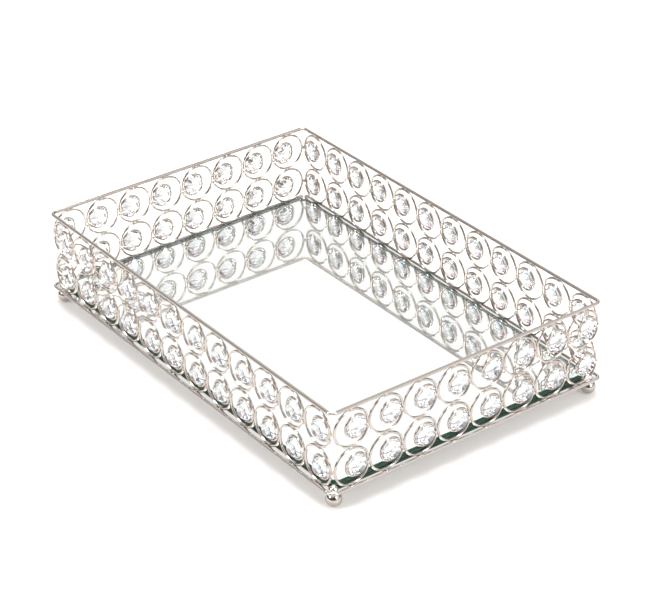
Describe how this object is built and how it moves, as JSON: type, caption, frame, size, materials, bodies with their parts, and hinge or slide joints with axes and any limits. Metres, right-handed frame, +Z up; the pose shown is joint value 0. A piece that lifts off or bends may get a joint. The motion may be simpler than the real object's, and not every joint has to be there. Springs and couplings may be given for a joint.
{
  "type": "mirrored vanity tray",
  "caption": "Open rectangular mirrored vanity tray with filigree walls of wire scrolls holding faceted crystal beads, on small ball feet.",
  "frame": {"origin": "middle of the footprint, on the surface that the feet stand on", "axes": "+X along the long walls, +Y towards the back long wall, +Z up"},
  "size_m": [0.3154, 0.214, 0.0668],
  "materials": {
    "base_sheet": "mirror-polished nickel plating",
    "edge_wire": "bright nickel plating",
    "rim_wire": "bright nickel plating",
    "scroll_wire": "bright nickel plating, slightly warm",
    "solder": "plated solder, softer shine",
    "pin_wire": "bright drawn wire",
    "foot": "bright nickel plating",
    "foot_screw": "polished",
    "crystal": "clear cut lead-free crystal",
    "mirror_glass": "clear float glass with ground edges, green in the edge",
    "mirror_silver": "silver behind the glass",
    "mirror_film": "protective back coating",
    "mirror_tape": "thin double-sided tape"
  },
  "bodies": {
    "root": {"base_plate": "base_sheet", "edge_wire": "edge_wire", "rim_wire": "rim_wire", "mirror_glass": "mirror_glass", "mirror_silver": "mirror_silver", "mirror_film": "mirror_film", "mirror_tape": "mirror_tape", "foot_front_right": "foot", "foot_back_right": "foot", "foot_back_left": "foot", "foot_front_left": "foot", "foot_screw_front_right": "foot_screw", "foot_screw_back_right": "foot_screw", "foot_screw_back_left": "foot_screw", "foot_screw_front_left": "foot_screw", "scrolls_front_lower": "scroll_wire", "scrolls_front_upper": "scroll_wire", "scrolls_right_lower": "scroll_wire", "scrolls_right_upper": "scroll_wire", "scrolls_back_lower": "scroll_wire", "scrolls_back_upper": "scroll_wire", "scrolls_left_lower": "scroll_wire", "scrolls_left_upper": "scroll_wire", "beads_front_lower": "crystal", "beads_front_upper": "crystal", "beads_right_lower": "crystal", "beads_right_upper": "crystal", "beads_back_lower": "crystal", "beads_back_upper": "crystal", "beads_left_lower": "crystal", "beads_left_upper": "crystal", "bead_pins_front_lower": "pin_wire", "bead_pins_front_upper": "pin_wire", "bead_pins_right_lower": "pin_wire", "bead_pins_right_upper": "pin_wire", "bead_pins_back_lower": "pin_wire", "bead_pins_back_upper": "pin_wire", "bead_pins_left_lower": "pin_wire", "bead_pins_left_upper": "pin_wire", "solder_base": "solder", "solder_rows": "solder", "solder_sides": "solder", "solder_rim": "solder", "solder_corners": "solder"}
  },
  "joints": []
}
